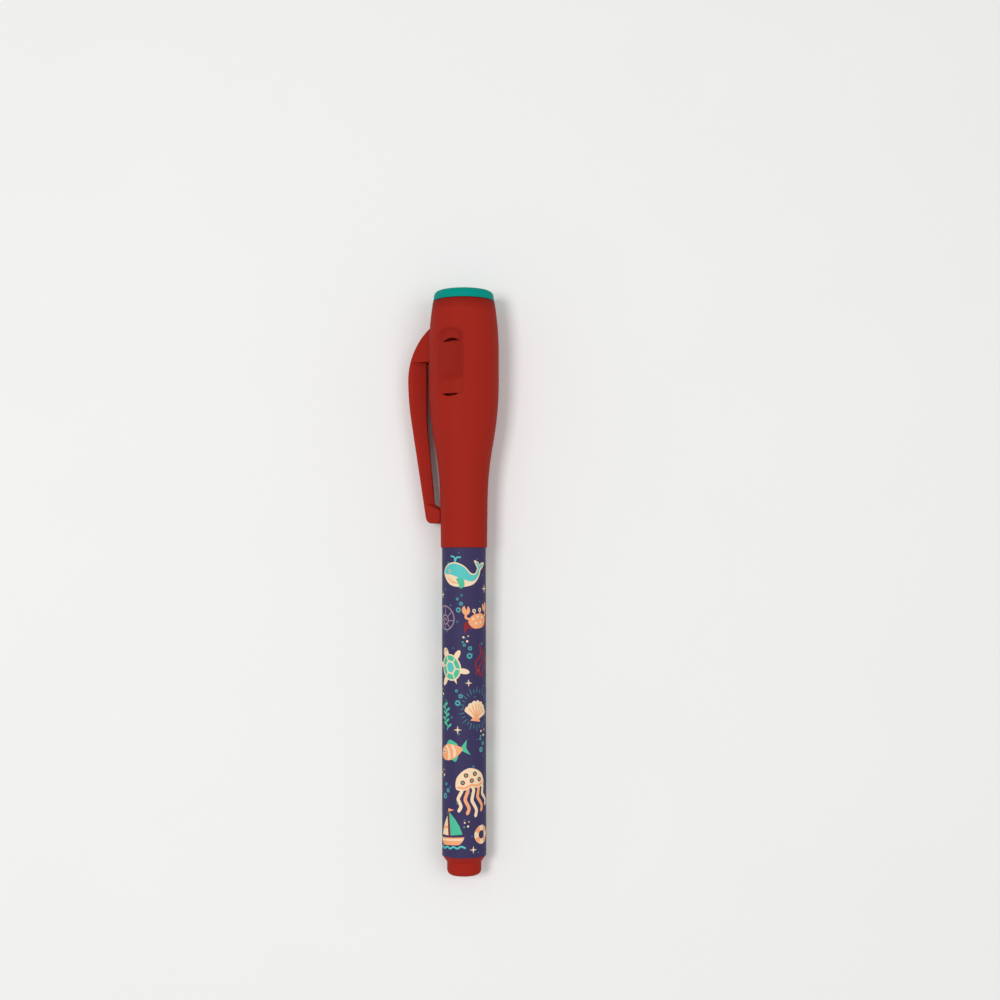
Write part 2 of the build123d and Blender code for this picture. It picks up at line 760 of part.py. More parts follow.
# Window for the button, bowed out into slits between the round corners of both ends
with BuildPart() as window:
    window_head = BUTTON_START - SLIT_BESIDE
    window_foot = button_end + SLIT_BESIDE
    slit_side = BUTTON_WIDTH / 2 - BUTTON_CORNER
    oblong(window_head, window_foot, window_width, BUTTON_CORNER + SLIT_BESIDE, 0, clear_height)
    for window_edge, slit_edge in ((window_head, window_start), (window_foot, window_end)):
        with BuildSketch(over_button(0, 0)) as slit:
            with BuildLine():
                ThreePointArc((window_edge, slit_side), (slit_edge, 0), (window_edge, -slit_side))
                Line((window_edge, -slit_side), (window_edge, slit_side))
            make_face()
        extrude(slit.sketch, amount=clear_height)

# Cap shell: lamp space above a partition, pen space below it
with BuildPart() as cap_shell:
    fall_middle = ((BELLY_END + WAIST_START) / 2, (BELLY_RADIUS + WAIST_RADIUS) / 2)
    with BuildSketch(BUTTON_SIDE):
        with BuildLine():
            TangentArc((BELLY_START, BELLY_RADIUS), (rim_station, RIM_RADIUS), tangent=(-1, 0))
            Line((BELLY_START, BELLY_RADIUS), (BELLY_END, BELLY_RADIUS))
            TangentArc((BELLY_END, BELLY_RADIUS), fall_middle, tangent=(1, 0))
            TangentArc((WAIST_START, WAIST_RADIUS), fall_middle, tangent=(-1, 0))
            Polyline(
                (WAIST_START, WAIST_RADIUS),
                (CAP_LENGTH, MOUTH_RADIUS),
                (CAP_LENGTH, LOWER_BORE),
                (partition_end, LOWER_BORE),
                (partition_end, 0),
                (partition_start, 0),
                (partition_start, main_bore),
                (main_bore_start, main_bore),
                (main_bore_start, UPPER_BORE),
                (gasket_seat_end, UPPER_BORE),
                (gasket_seat_end, GASKET_RADIUS + RUNNING_GAP),
                (rim_station, GASKET_RADIUS + RUNNING_GAP),
                (rim_station, RIM_RADIUS),
            )
        make_face()
    revolve(axis=PEN_AXIS)
    round_edges = cap_shell.edges().filter_by(GeomType.CIRCLE).group_by(PEN_AXIS)
    fillet(round_edges[-1], radius=MOUTH_EDGE)
    round_edges = cap_shell.edges().filter_by(GeomType.CIRCLE).group_by(PEN_AXIS)
    fillet(round_edges[0].sort_by(SortBy.RADIUS)[-1], radius=RIM_EDGE)
    add(clip_root.part)
    add(window.part, mode=Mode.SUBTRACT)
    add(ramp.part, mode=Mode.SUBTRACT)
    with BuildSketch(over_button(screw_station, -screw_head_seat)):
        Circle(SCREW_HEAD_RADIUS + RUNNING_GAP)
    extrude(amount=-BELLY_RADIUS, mode=Mode.SUBTRACT)
    with BuildSketch(over_button(screw_station, -screw_head_seat)):
        Circle(SCREW_RADIUS + RUNNING_GAP)
    extrude(amount=screw_head_seat, mode=Mode.SUBTRACT)
    ridge(thread_start, UPPER_BORE, CAP_THREAD_TURNS, -cap_ridge)
cap_shell.part.label = "cap_shell"
export_step(cap_shell.part, "parts/cap_shell.step")

# Locking screw, through the back of the cap into the carrier's deck
with BuildPart() as locking_screw:
    with BuildSketch(over_button(screw_station, -screw_head_top)):
        Circle(SCREW_HEAD_RADIUS)
    extrude(amount=SCREW_HEAD - SEAT_GAP)
    with BuildSketch(over_button(screw_station, -screw_head_top)):
        Circle(SCREW_RADIUS)
    extrude(amount=SCREW_HEAD + SCREW_LENGTH)
    with BuildSketch(over_button(screw_station, -screw_head_top)):
        Rectangle(SCREW_CROSS, SCREW_CROSS_WIDTH)
        Rectangle(SCREW_CROSS_WIDTH, SCREW_CROSS)
    extrude(amount=SCREW_CROSS_DEPTH, mode=Mode.SUBTRACT)
locking_screw.part.label = "locking_screw"
export_step(locking_screw.part, "parts/locking_screw.step")

# Inner cap, the liner that closes round the nib section
with BuildPart() as inner_cap:
    liner_start = partition_end + SEAT_GAP
    liner_mouth = cone_back - LINER_BACKSET
    seal_share = (LINER_CHAMBER - LINER_GAP - CONE_FRONT_RADIUS) / (cone_back_radius - CONE_FRONT_RADIUS)
    seal_start = cone_front + seal_share * (cone_back - cone_front)
    turn([
        (liner_start, 0),
        (liner_start, LOWER_BORE - SEAT_GAP),
        (liner_mouth, LOWER_BORE - SEAT_GAP),
        (liner_mouth, cone_radius(liner_mouth) + LINER_GAP),
        (seal_start, LINER_CHAMBER),
        (liner_start + LINER_END, LINER_CHAMBER),
        (liner_start + LINER_END, 0),
    ])
inner_cap.part.label = "inner_cap"
export_step(inner_cap.part, "parts/inner_cap.step")

# Nib section: a cone, a neck for the cap and a spigot in the barrel
with BuildPart() as nib_section:
    bead_middle = (cone_back + CAP_LENGTH) / 2
    nib_bore = NIB_RADIUS + SEAT_GAP
    film_radius = RESERVOIR_RADIUS + SEAT_GAP + FILM_THICKNESS
    turn([
        (cone_front, nib_bore),
        (cone_front, CONE_FRONT_RADIUS),
        (cone_back, cone_back_radius),
        (cone_back + NECK_CHAMFER, NECK_RADIUS),
        (bead_middle - NECK_BEAD_LENGTH / 2, NECK_RADIUS),
        (bead_middle, NECK_RADIUS + NECK_BEAD),
        (bead_middle + NECK_BEAD_LENGTH / 2, NECK_RADIUS),
        (CAP_LENGTH, NECK_RADIUS),
        (CAP_LENGTH, BARREL_BORE - SEAT_GAP),
        (section_end, BARREL_BORE - SEAT_GAP),
        (section_end, film_radius + SEAT_GAP),
        (reservoir_start, film_radius + SEAT_GAP),
        (reservoir_start, nib_bore),
    ])
nib_section.part.label = "nib_section"
export_step(nib_section.part, "parts/nib_section.step")

# Fibre nib, a rod with a rounded point
with BuildPart() as fibre_nib:
    with BuildSketch(BUTTON_SIDE):
        with BuildLine():
            point_side = (nib_tip + NIB_TIP_RADIUS, NIB_TIP_RADIUS)
            TangentArc((nib_tip, 0), point_side, tangent=(0, 1))
            Polyline(
                point_side,
                (nib_tip + NIB_TIP_LENGTH, NIB_RADIUS),
                (nib_end, NIB_RADIUS),
                (nib_end, 0),
                (nib_tip, 0),
            )
        make_face()
    revolve(axis=PEN_AXIS)
fibre_nib.part.label = "fibre_nib"
export_step(fibre_nib.part, "parts/fibre_nib.step")

# Ink reservoir, a fibre rod that the nib reaches into
with BuildPart() as ink_reservoir:
    rod(reservoir_start + SEAT_GAP, RESERVOIR_RADIUS, reservoir_end - reservoir_start - SEAT_GAP)
    rod(reservoir_start, NIB_RADIUS + SEAT_GAP, NIB_BITE + SEAT_GAP, mode=Mode.SUBTRACT)
ink_reservoir.part.label = "ink_reservoir"
export_step(ink_reservoir.part, "parts/ink_reservoir.step")

# Film round the reservoir
with BuildPart() as reservoir_film:
    rod(reservoir_start + SEAT_GAP, film_radius, reservoir_end - reservoir_start - SEAT_GAP)
    rod(reservoir_start, RESERVOIR_RADIUS + SEAT_GAP, PEN_LENGTH, mode=Mode.SUBTRACT)
reservoir_film.part.label = "reservoir_film"
export_step(reservoir_film.part, "parts/reservoir_film.step")

# Barrel tube
with BuildPart() as barrel:
    rod(barrel_start, BARREL_RADIUS, barrel_end - barrel_start)
    rod(barrel_start, BARREL_BORE, barrel_end - barrel_start, mode=Mode.SUBTRACT)
barrel.part.label = "barrel"
export_step(barrel.part, "parts/barrel.step")

# Printed sleeve, a film shrunk round the barrel
with BuildPart() as printed_sleeve:
    rod(barrel_start, sleeve_radius, barrel_end - barrel_start)
    rod(barrel_start, sleeve_bore, barrel_end - barrel_start, mode=Mode.SUBTRACT)
printed_sleeve.part.label = "printed_sleeve"
export_step(printed_sleeve.part, "parts/printed_sleeve.step")

# End plug: a hollow spigot in the barrel, a tapering flange and a knob
with BuildPart() as end_plug:
    plug_radius = BARREL_BORE - SEAT_GAP
    flange_start = barrel_end + SEAT_GAP
    turn([
        (plug_start, plug_radius - PLUG_WALL),
        (plug_start, plug_radius),
        (flange_start, plug_radius),
        (flange_start, PLUG_FLANGE_RADIUS),
        (flange_start + PLUG_TAPER, KNOB_RADIUS),
        (PEN_LENGTH, KNOB_RADIUS),
        (PEN_LENGTH, 0),
        (barrel_end, 0),
        (barrel_end, plug_radius - PLUG_WALL),
    ])
    fillet(end_plug.edges().filter_by(GeomType.CIRCLE).group_by(PEN_AXIS)[-1], radius=KNOB_EDGE)
end_plug.part.label = "end_plug"
export_step(end_plug.part, "parts/end_plug.step")
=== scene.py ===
import json
import math

import bmesh
import bpy
from mathutils import Matrix, Vector
from mathutils.geometry import delaunay_2d_cdt


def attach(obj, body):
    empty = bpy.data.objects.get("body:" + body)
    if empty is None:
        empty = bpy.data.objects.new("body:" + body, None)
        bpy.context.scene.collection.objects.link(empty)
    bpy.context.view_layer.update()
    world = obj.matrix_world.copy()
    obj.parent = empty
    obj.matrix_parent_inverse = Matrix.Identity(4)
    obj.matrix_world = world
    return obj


# A capped invisible-ink pen on a pale table, seen from above. Lengths are in metres, and
# the print on the barrel is drawn in millimetres.

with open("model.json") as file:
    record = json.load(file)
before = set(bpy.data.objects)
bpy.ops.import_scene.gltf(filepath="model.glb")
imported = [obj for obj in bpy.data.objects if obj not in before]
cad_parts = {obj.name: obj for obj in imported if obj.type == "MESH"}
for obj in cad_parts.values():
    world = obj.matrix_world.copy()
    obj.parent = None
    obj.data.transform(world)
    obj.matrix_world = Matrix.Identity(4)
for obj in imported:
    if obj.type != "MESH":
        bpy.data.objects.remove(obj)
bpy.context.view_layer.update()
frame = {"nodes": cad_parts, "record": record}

MM = 0.001

# Camera, above the barrel and turned a little toward the lamp end
CAMERA_PLACE = Vector((8.0, 11.08, 360.87)) * MM
CAMERA_AIM = Vector((-18.99, 11.08, 7.0)) * MM
CAMERA_RIGHT = Vector((0.002, 1, 0))
CAMERA_LENS = 54.0

# Light and floor
WORLD_STRENGTH = 0.50
KEY_PLACE = Vector((-0.02, -0.26, 0.75))
KEY_SIZE = 0.20
KEY_POWER = 2.5
FILL_PLACE = Vector((-0.02, 0.34, 0.70))
FILL_SIZE = 0.40
FILL_POWER = 1.1
FLOOR_SIZE = 40.0

# Colours, in linear light
RED = (0.332, 0.019, 0.011)
# A lighter copy of the cap's red for the clip and the end plug: painted light
CLIP_RED_PAINTED_LIGHT = (0.346, 0.020, 0.012)
# A darker copy of the cap's red for the button: painted shade
BUTTON_RED_PAINTED_SHADE = (0.309, 0.018, 0.010)
TEAL = (0.001, 0.270, 0.220)
NAVY = (0.046, 0.038, 0.106)
CREAM = (0.90, 0.68, 0.45)
PEACH = (0.90, 0.39, 0.19)
MINT = (0.080, 0.510, 0.310)
AQUA = (0.105, 0.545, 0.520)
MAROON = (0.300, 0.024, 0.026)
LILAC = (0.330, 0.225, 0.290)
DUSK = (0.048, 0.190, 0.230)
OFF_WHITE = (0.78, 0.77, 0.73)
FIBRE_WHITE = (0.80, 0.76, 0.66)
BLACK = (0.012, 0.012, 0.013)
DARK_GREEN = (0.005, 0.015, 0.012)
PALE = (0.86, 0.86, 0.85)
STEEL = (0.60, 0.60, 0.61)
TIN = (0.68, 0.68, 0.69)
BRASS = (0.72, 0.50, 0.20)
LENS_TINT = (0.95, 0.97, 0.98)
RESIN_TINT = (0.86, 0.83, 0.97)
FILM_TINT = (0.90, 0.92, 0.93)

# The cap is darker just below its collar, and the button on its face, by painted shade: how
# dark there, and between which shares of the part's length the painted shade ends
RIM_PAINTED_SHADE = (0.60, 0.0, 0.055)
FACE_PAINTED_SHADE = (0.90, 0.64, 0.70)

# A faint arch of painted shade above the button: its middle, its half span, how flat it is, its
# half width, and how dark the painted shade is inside and along the arch
ARCH_MIDDLE = Vector((-56.61, -0.28, 15.75)) * MM
ARCH_REACH = 2.7 * MM
ARCH_FLATNESS = 1.5
ARCH_HALF_WIDTH = 1.1 * MM
ARCH_PAINTED_INSIDE = 0.88
ARCH_PAINTED_SHADE = 0.76


class Surface:
    """A node material: its shader, and textures in the part's own coordinates."""

    def __init__(self, name, roughness, **settings):
        self.material = bpy.data.materials.new(name)
        self.material.use_nodes = True
        self.tree = self.material.node_tree
        self.shader = self.tree.nodes["Principled BSDF"]
        self.shader.inputs["Roughness"].default_value = roughness
        for socket, value in settings.items():
            self.shader.inputs[socket.replace("_", " ")].default_value = value
        self.place = self.add("ShaderNodeTexCoord").outputs["Object"]

    def add(self, kind, **settings):
        node = self.tree.nodes.new(kind)
        for name, value in settings.items():
            setattr(node, name, value)
        return node

    def link(self, output, target):
        self.tree.links.new(output, target)

    def noise(self, grain, stretch=(1, 1, 1), detail=3.0):
        """Noise with grains of a size in metres, drawn out along an axis where stretch is over 1."""
        mapping = self.add("ShaderNodeMapping")
        mapping.inputs["Scale"].default_value = [1 / (grain * part) for part in stretch]
        texture = self.add("ShaderNodeTexNoise")
        texture.inputs["Scale"].default_value = 1.0
        texture.inputs["Detail"].default_value = detail
        self.link(self.place, mapping.inputs["Vector"])
        self.link(mapping.outputs["Vector"], texture.inputs["Vector"])
        return texture.outputs["Fac"]

    def colour(self, base, mask, spread):
        """Vary the base colour by a share of itself, darker to lighter along a mask."""
        mix = self.add("ShaderNodeMix", data_type="RGBA")
        mix.inputs["A"].default_value = [c * (1 - spread) for c in base] + [1]
        mix.inputs["B"].default_value = [c * (1 + spread) for c in base] + [1]
        self.link(mask, mix.inputs["Factor"])
        self.link(mix.outputs["Result"], self.shader.inputs["Base Color"])

    def span(self, value, start, end, low, high):
        """A value carried from one range to another, held at both ends."""
        node = self.add("ShaderNodeMapRange")
        node.inputs["From Min"].default_value = start
        node.inputs["From Max"].default_value = end
        node.inputs["To Min"].default_value = low
        node.inputs["To Max"].default_value = high
        self.link(value, node.inputs["Value"])
        return node.outputs["Result"]

    def darken(self, tone):
        """Multiply the colour by a tone, which paints shade into it."""
        base = self.shader.inputs["Base Color"]
        mix = self.add("ShaderNodeMix", data_type="RGBA", blend_type="MULTIPLY")
        mix.inputs["Factor"].default_value = 1.0
        self.link(base.links[0].from_socket, mix.inputs["A"])
        self.link(tone, mix.inputs["B"])
        self.link(mix.outputs["Result"], base)

    def fade(self, darkest, start, end):
        """Paint shade into the colour toward the lamp end, up to a place between two shares of the length.
        """
        along = self.add("ShaderNodeSeparateXYZ")
        self.link(self.add("ShaderNodeTexCoord").outputs["Generated"], along.inputs["Vector"])
        self.darken(self.span(along.outputs["X"], start, end, darkest, 1))

    def painted_arch(self):
        """Paint shade into the colour along a soft arch above the button, and a little inside it."""
        flatten = Vector((ARCH_FLATNESS, 1, 1))
        mapping = self.add("ShaderNodeMapping")
        mapping.inputs["Scale"].default_value = flatten
        mapping.inputs["Location"].default_value = -ARCH_MIDDLE * flatten
        self.link(self.place, mapping.inputs["Vector"])
        away = self.add("ShaderNodeVectorMath", operation="LENGTH")
        self.link(mapping.outputs["Vector"], away.inputs[0])
        inner = ARCH_REACH - ARCH_HALF_WIDTH
        outer = ARCH_REACH + ARCH_HALF_WIDTH
        tone = self.add("ShaderNodeValToRGB")
        stops = tone.color_ramp.elements
        stops[0].color = (ARCH_PAINTED_INSIDE, ARCH_PAINTED_INSIDE, ARCH_PAINTED_INSIDE, 1)
        stops.new(0.5).color = (ARCH_PAINTED_SHADE, ARCH_PAINTED_SHADE, ARCH_PAINTED_SHADE, 1)
        self.link(self.span(away.outputs["Value"], inner, outer, 0, 1), tone.inputs["Fac"])
        self.darken(tone.outputs["Color"])

    def rough(self, mask, low, high):
        """Vary the roughness along a mask."""
        self.link(self.span(mask, 0, 1, low, high), self.shader.inputs["Roughness"])

    def bump(self, mask, depth):
        """Raise the surface by up to a depth in metres along a mask."""
        node = self.add("ShaderNodeBump")
        node.inputs["Distance"].default_value = depth
        self.link(mask, node.inputs["Height"])
        self.link(node.outputs["Normal"], self.shader.inputs["Normal"])


def moulded(name, base, roughness, painted_shade=None, painted_arch=False):
    """Satin plastic with a fine grain and faint flow marks, and with painted shade where asked for."""
    surface = Surface(name, roughness, Specular_IOR_Level=0.04)
    flow = surface.noise(grain=5 * MM, stretch=(4, 1, 1))
    surface.colour(base, flow, spread=0.06)
    if painted_shade:
        surface.fade(*painted_shade)
    if painted_arch:
        surface.painted_arch()
    surface.rough(flow, low=roughness - 0.04, high=roughness + 0.05)
    surface.bump(surface.noise(grain=0.12 * MM, detail=2.0), depth=0.004 * MM)
    return surface.material


def printed(name, base, roughness):
    """Ink or film with the faint unevenness of a print under a gloss."""
    surface = Surface(name, roughness, Specular_IOR_Level=0.08)
    speckle = surface.noise(grain=0.16 * MM, detail=4.0)
    surface.colour(base, speckle, spread=0.10)
    surface.rough(speckle, low=roughness - 0.05, high=roughness + 0.05)
    surface.bump(surface.noise(grain=0.5 * MM), depth=0.003 * MM)
    return surface.material


def clear(name, tint, roughness, ior):
    """Clear plastic or resin with slight ripples."""
    surface = Surface(name, roughness, IOR=ior, Transmission_Weight=1.0)
    ripple = surface.noise(grain=1.5 * MM)
    surface.colour(tint, ripple, spread=0.02)
    surface.bump(ripple, depth=0.01 * MM)
    return surface.material


def metal(name, base, roughness, stretch):
    """Metal with fine scratches drawn out along one axis."""
    surface = Surface(name, roughness, Metallic=1.0)
    scratches = surface.noise(grain=0.05 * MM, stretch=stretch)
    surface.colour(base, scratches, spread=0.12)
    surface.rough(scratches, low=roughness - 0.08, high=roughness + 0.10)
    surface.bump(scratches, depth=0.002 * MM)
    return surface.material


def fibrous(name, base):
    """Bonded fibre, its strands along the pen."""
    surface = Surface(name, roughness=0.85)
    strands = surface.noise(grain=0.08 * MM, stretch=(25, 1, 1), detail=4.0)
    surface.colour(base, strands, spread=0.16)
    surface.rough(strands, low=0.75, high=0.95)
    surface.bump(strands, depth=0.02 * MM)
    return surface.material


def rubber(name, base):
    """Matte rubber with a dusty grain."""
    surface = Surface(name, roughness=0.75)
    dust = surface.noise(grain=0.2 * MM)
    surface.colour(base, dust, spread=0.35)
    surface.rough(dust, low=0.65, high=0.85)
    surface.bump(dust, depth=0.006 * MM)
    return surface.material


def painted_floor():
    """Pale matte table top with a barely seen mottling."""
    surface = Surface("table_paint", roughness=0.9, Specular_IOR_Level=0.1)
    mottling = surface.noise(grain=30 * MM)
    surface.colour(PALE, mottling, spread=0.01)
    return surface.material


finishes = {
    # The reds of the cap and the button carry painted shade, and the red of the clip and end plug painted
    # light
    moulded("cap_red", RED, roughness=0.55, painted_shade=RIM_PAINTED_SHADE, painted_arch=True): ["cap_shell"],
    moulded("clip_red_painted_light", CLIP_RED_PAINTED_LIGHT, roughness=0.55): ["pocket_clip", "end_plug"],
    moulded("button_red_painted_shade", BUTTON_RED_PAINTED_SHADE, roughness=0.55, painted_shade=FACE_PAINTED_SHADE): ["push_button"],
    moulded("collar_teal", TEAL, roughness=0.50): ["lamp_collar", "nib_section"],
    moulded("white_plastic", OFF_WHITE, roughness=0.45): ["barrel", "inner_cap", "reflector"],
    moulded("dark_plastic", DARK_GREEN, roughness=0.50): ["battery_carrier"],
    printed("sleeve_film", NAVY, roughness=0.50): ["printed_sleeve"],
    clear("lens_clear", LENS_TINT, roughness=0.04, ior=1.49): ["lamp_lens"],
    clear("lamp_resin", RESIN_TINT, roughness=0.03, ior=1.54): ["uv_lamp"],
    clear("clear_film", FILM_TINT, roughness=0.15, ior=1.5): ["reservoir_film"],
    fibrous("bonded_fibre", FIBRE_WHITE): ["fibre_nib", "ink_reservoir"],
    metal("tinned_wire", TIN, roughness=0.30, stretch=(8, 1, 1)): [
        "anode_lead", "cathode_lead", "cell_spring",
    ],
    metal("cell_steel", STEEL, roughness=0.25, stretch=(1, 8, 8)): [
        "button_cell_1", "button_cell_2", "button_cell_3",
    ],
    metal("screw_steel", STEEL, roughness=0.35, stretch=(1, 6, 6)): ["locking_screw"],
    metal("brass_strip", BRASS, roughness=0.30, stretch=(10, 1, 1)): ["contact_strip"],
    rubber("black_rubber", BLACK): ["collar_gasket"],
}
for material, nodes in finishes.items():
    for node in nodes:
        mesh = frame["nodes"][node].data
        mesh.materials.clear()
        mesh.materials.append(material)

# The barrel's print is drawn on an unrolled sheet, in millimetres: x runs round the barrel
# from its top toward +Y, and y along it toward the cap. A motif is a list of inks and
# outlines in the order they are painted.
PRINT_PROUD = 0.012
PRINT_DEPTH = 0.03
PRINT_FACET = 0.4
CURVE_STEPS = 8
GROUND = "ground"
DRIFT_COUNT = 150
DRIFT_STEP = 0.618
DRIFT_MARGIN = 0.5
PRINT_SHARP_ANGLE = 40
INK_ROUGHNESS = 0.50
INKS = {
    "cream": CREAM,
    "peach": PEACH,
    "mint": MINT,
    "aqua": AQUA,
    "maroon": MAROON,
    "lilac": LILAC,
    "dusk": DUSK,
}

# How the sheet is cut into triangles: all of its outer hull, with points this close joined
WHOLE_HULL = 0
JOIN_DISTANCE = 1e-4


def panel(ink, *points):
    """A straight-edged patch."""
    return ink, [Vector(point) for point in points]


def oval(ink, x, y, width, height=None, lean=0.0):
    """An elliptical patch, round where no height is given and leaning by an angle in degrees."""
    reach = Vector((width / 2, (height or width) / 2))
    steps = 12 + int(8 * width)
    turn = Matrix.Rotation(math.radians(lean), 2)
    angles = [2 * math.pi * step / steps for step in range(steps)]
    ring = [Vector((reach.x * math.cos(angle), reach.y * math.sin(angle))) for angle in angles]
    return ink, [Vector((x, y)) + turn @ point for point in ring]


def curve_point(knots, share):
    """A point between the middle two of four knots on a smooth curve through them."""
    before, start, end, after = knots
    pull_in = (end - before) / 2
    pull_out = (after - start) / 2
    bend = 3 * (end - start) - 2 * pull_in - pull_out
    close = 2 * (start - end) + pull_in + pull_out
    return start + pull_in * share + bend * share**2 + close * share**3


def blob(ink, *points):
    """A patch with a smooth outline through points."""
    ends = [Vector(point) for point in points]
    outline = []
    for index in range(len(ends)):
        knots = [ends[(index + step) % len(ends)] for step in (-1, 0, 1, 2)]
        outline += [curve_point(knots, step / CURVE_STEPS) for step in range(CURVE_STEPS)]
    return ink, outline


def ribbon(ink, width, *points):
    """A stroke of a width along a smooth line through points."""
    ends = [Vector(point) for point in points]
    ends = [2 * ends[0] - ends[1]] + ends + [2 * ends[-1] - ends[-2]]
    middle = []
    for index in range(len(points) - 1):
        middle += [curve_point(ends[index:index + 4], step / CURVE_STEPS) for step in range(CURVE_STEPS)]
    middle.append(ends[-2])
    befores = middle[:1] + middle[:-1]
    afters = middle[1:] + middle[-1:]
    ways = [(after - before).normalized() for before, after in zip(befores, afters)]
    sides = [Vector((-way.y, way.x)) * width / 2 for way in ways]
    left = [point + side for point, side in zip(middle, sides)]
    right = [point - side for point, side in zip(middle, sides)]
    start_cap = middle[0] - ways[0] * width / 2
    end_cap = middle[-1] + ways[-1] * width / 2
    return ink, left + [end_cap] + right[::-1] + [start_cap]


def star(ink, reach, waist, arms):
    """A pointed star round the origin."""
    lengths = [reach, waist] * arms
    spikes = [(length, math.pi * (step / arms + 0.5)) for step, length in enumerate(lengths)]
    return panel(ink, *[(length * math.cos(angle), length * math.sin(angle)) for length, angle in spikes])


def sailboat():
    """A boat with two sails on a line of waves."""
    return [
        panel("mint", (0.4, -1.6), (4.1, -1.4), (3.4, 0.9), (2.2, 3.0), (0.4, 5.0)),
        panel("cream", (-0.4, -1.6), (-3.3, -1.4), (-2.4, 0.8), (-0.4, 3.9)),
        panel("peach", (-0.4, 0.3), (-2.6, 0.3), (-2.2, 1.1), (-0.4, 1.1)),
        ribbon("maroon", 0.4, (0, -2.2), (0, 5.4)),
        panel("peach", (0.1, 6.0), (2.1, 5.5), (0.1, 5.0)),
        panel("peach", (-4.2, -2.2), (4.6, -2.2), (3.9, -3.5), (2.9, -4.3), (-2.6, -4.3), (-3.6, -3.5)),
        panel("cream", (-4.0, -2.6), (4.4, -2.6), (4.1, -3.1), (-3.7, -3.1)),
        waves(4.6, -5.0)[0],
    ]


def waves(reach=3.0, height=0.0):
    """A wavy line across the origin."""
    crests = [(reach * step / 4, height + (0.25 if step % 2 else -0.25)) for step in range(-4, 5)]
    return [ribbon("aqua", 0.5, *crests)]


def fish():
    """A striped fish that swims to the left."""
    stripes = [
        blob(
            "cream", (x - 0.3, high), (x + 0.4, high), (x + 0.8, 0),
            (x + 0.4, -high), (x - 0.3, -high), (x + 0.1, 0),
        )
        for x, high in ((-1.3, 1.75), (0.5, 1.45))
    ]
    return [
        panel("mint", (2.6, 0.2), (4.9, 2.1), (4.2, 0), (4.9, -2.1), (2.6, -0.2)),
        blob("mint", (-1.4, 1.7), (0.2, 3.1), (2.2, 1.4), (0.4, 1.0)),
        blob("mint", (-0.6, -1.6), (0.6, -2.8), (1.7, -1.2), (0.4, -1.0)),
        blob(
            "peach", (-4.4, 0), (-3.2, 1.5), (-1, 2.1), (1.4, 1.5),
            (3.2, 0), (1.4, -1.5), (-1, -2.1), (-3.2, -1.5),
        ),
        *stripes,
        oval("cream", -2.8, 0.5, 1.2),
        oval(GROUND, -2.95, 0.5, 0.6),
    ]


def crab():
    """A crab with raised claws."""
    paint = []
    for side in (-1, 1):
        for leg in range(3):
            drop = -0.3 - 0.7 * leg
            knee = (side * 3.6, drop + 0.3)
            foot = (side * 4.3, drop - 0.8)
            paint.append(ribbon("maroon", 0.45, (side * 2, drop), knee, foot))
        paint += [
            ribbon("peach", 0.6, (side * 2.2, 0.6), (side * 3.5, 1.3), (side * 3.3, 2.4)),
            oval("peach", side * 3.2, 3.3, 2.2, 2.6),
            panel(GROUND, (side * 3.1, 3.2), (side * 2.2, 5.0), (side * 3.6, 5.0)),
            ribbon("peach", 0.4, (side * 0.8, 1.5), (side * 0.95, 2.5)),
            oval("cream", side * 0.95, 2.8, 1.1),
            oval(GROUND, side * 0.95, 2.8, 0.5),
        ]
    body = blob(
        "peach", (-3, 0), (-1.9, 1.5), (0, 1.9), (1.9, 1.5),
        (3, 0), (1.9, -1.7), (0, -2.1), (-1.9, -1.7),
    )
    spots = [(-1.5, 0.7), (0, 1.1), (1.5, 0.7), (-0.8, -0.6), (0.8, -0.6)]
    return [*paint, body, *[oval("cream", x, y, 0.7) for x, y in spots]]


def shell():
    """A fan-shaped shell."""
    foot = Vector((0, -2.4))
    lobes = 7
    rim = []
    for step in range(4 * lobes + 1):
        angle = math.radians(20 + 140 * step / (4 * lobes))
        reach = 4.6 + 0.35 * abs(math.sin(math.pi * step / 4))
        rim.append(foot + reach * Vector((0.8 * math.cos(angle), math.sin(angle))))
    ribs = [ribbon("peach", 0.35, foot, foot + 0.85 * (rim[4 * lobe] - foot)) for lobe in range(1, lobes)]
    return [
        ("cream", [foot + Vector((0.5, -0.2))] + rim + [foot + Vector((-0.5, -0.2))]),
        *ribs,
        panel("peach", (-1.6, -3.1), (1.6, -3.1), (0.9, -2.1), (-0.9, -2.1)),
    ]


def lighthouse():
    """A striped tower with its light on, on a rock."""
    base, top = -4.2, 2.6

    def half_width(height):
        return 1.9 - 0.8 * (height - base) / (top - base)

    def band(ink, low, high):
        wide, narrow = half_width(low), half_width(high)
        return panel(ink, (-wide, low), (wide, low), (narrow, high), (-narrow, high))

    return [
        panel("cream", (0.6, 3.9), (4.4, 5.1), (4.4, 2.7)),
        panel("cream", (-0.6, 3.9), (-4.4, 5.1), (-4.4, 2.7)),
        band("cream", base, top),
        *[band("peach", low, low + 1.2) for low in (-3.2, -0.8, 1.4)],
        panel("maroon", (-1.6, 2.6), (1.6, 2.6), (1.6, 3.1), (-1.6, 3.1)),
        panel("mint", (-0.9, 3.1), (0.9, 3.1), (0.9, 4.7), (-0.9, 4.7)),
        oval("cream", 0, 3.9, 0.9),
        panel("maroon", (-1.3, 4.7), (1.3, 4.7), (0, 6.1)),
        blob("aqua", (-3.9, -5.3), (-2.6, -4.2), (0, -3.9), (2.6, -4.3), (3.9, -5.3), (0, -5.6)),
    ]


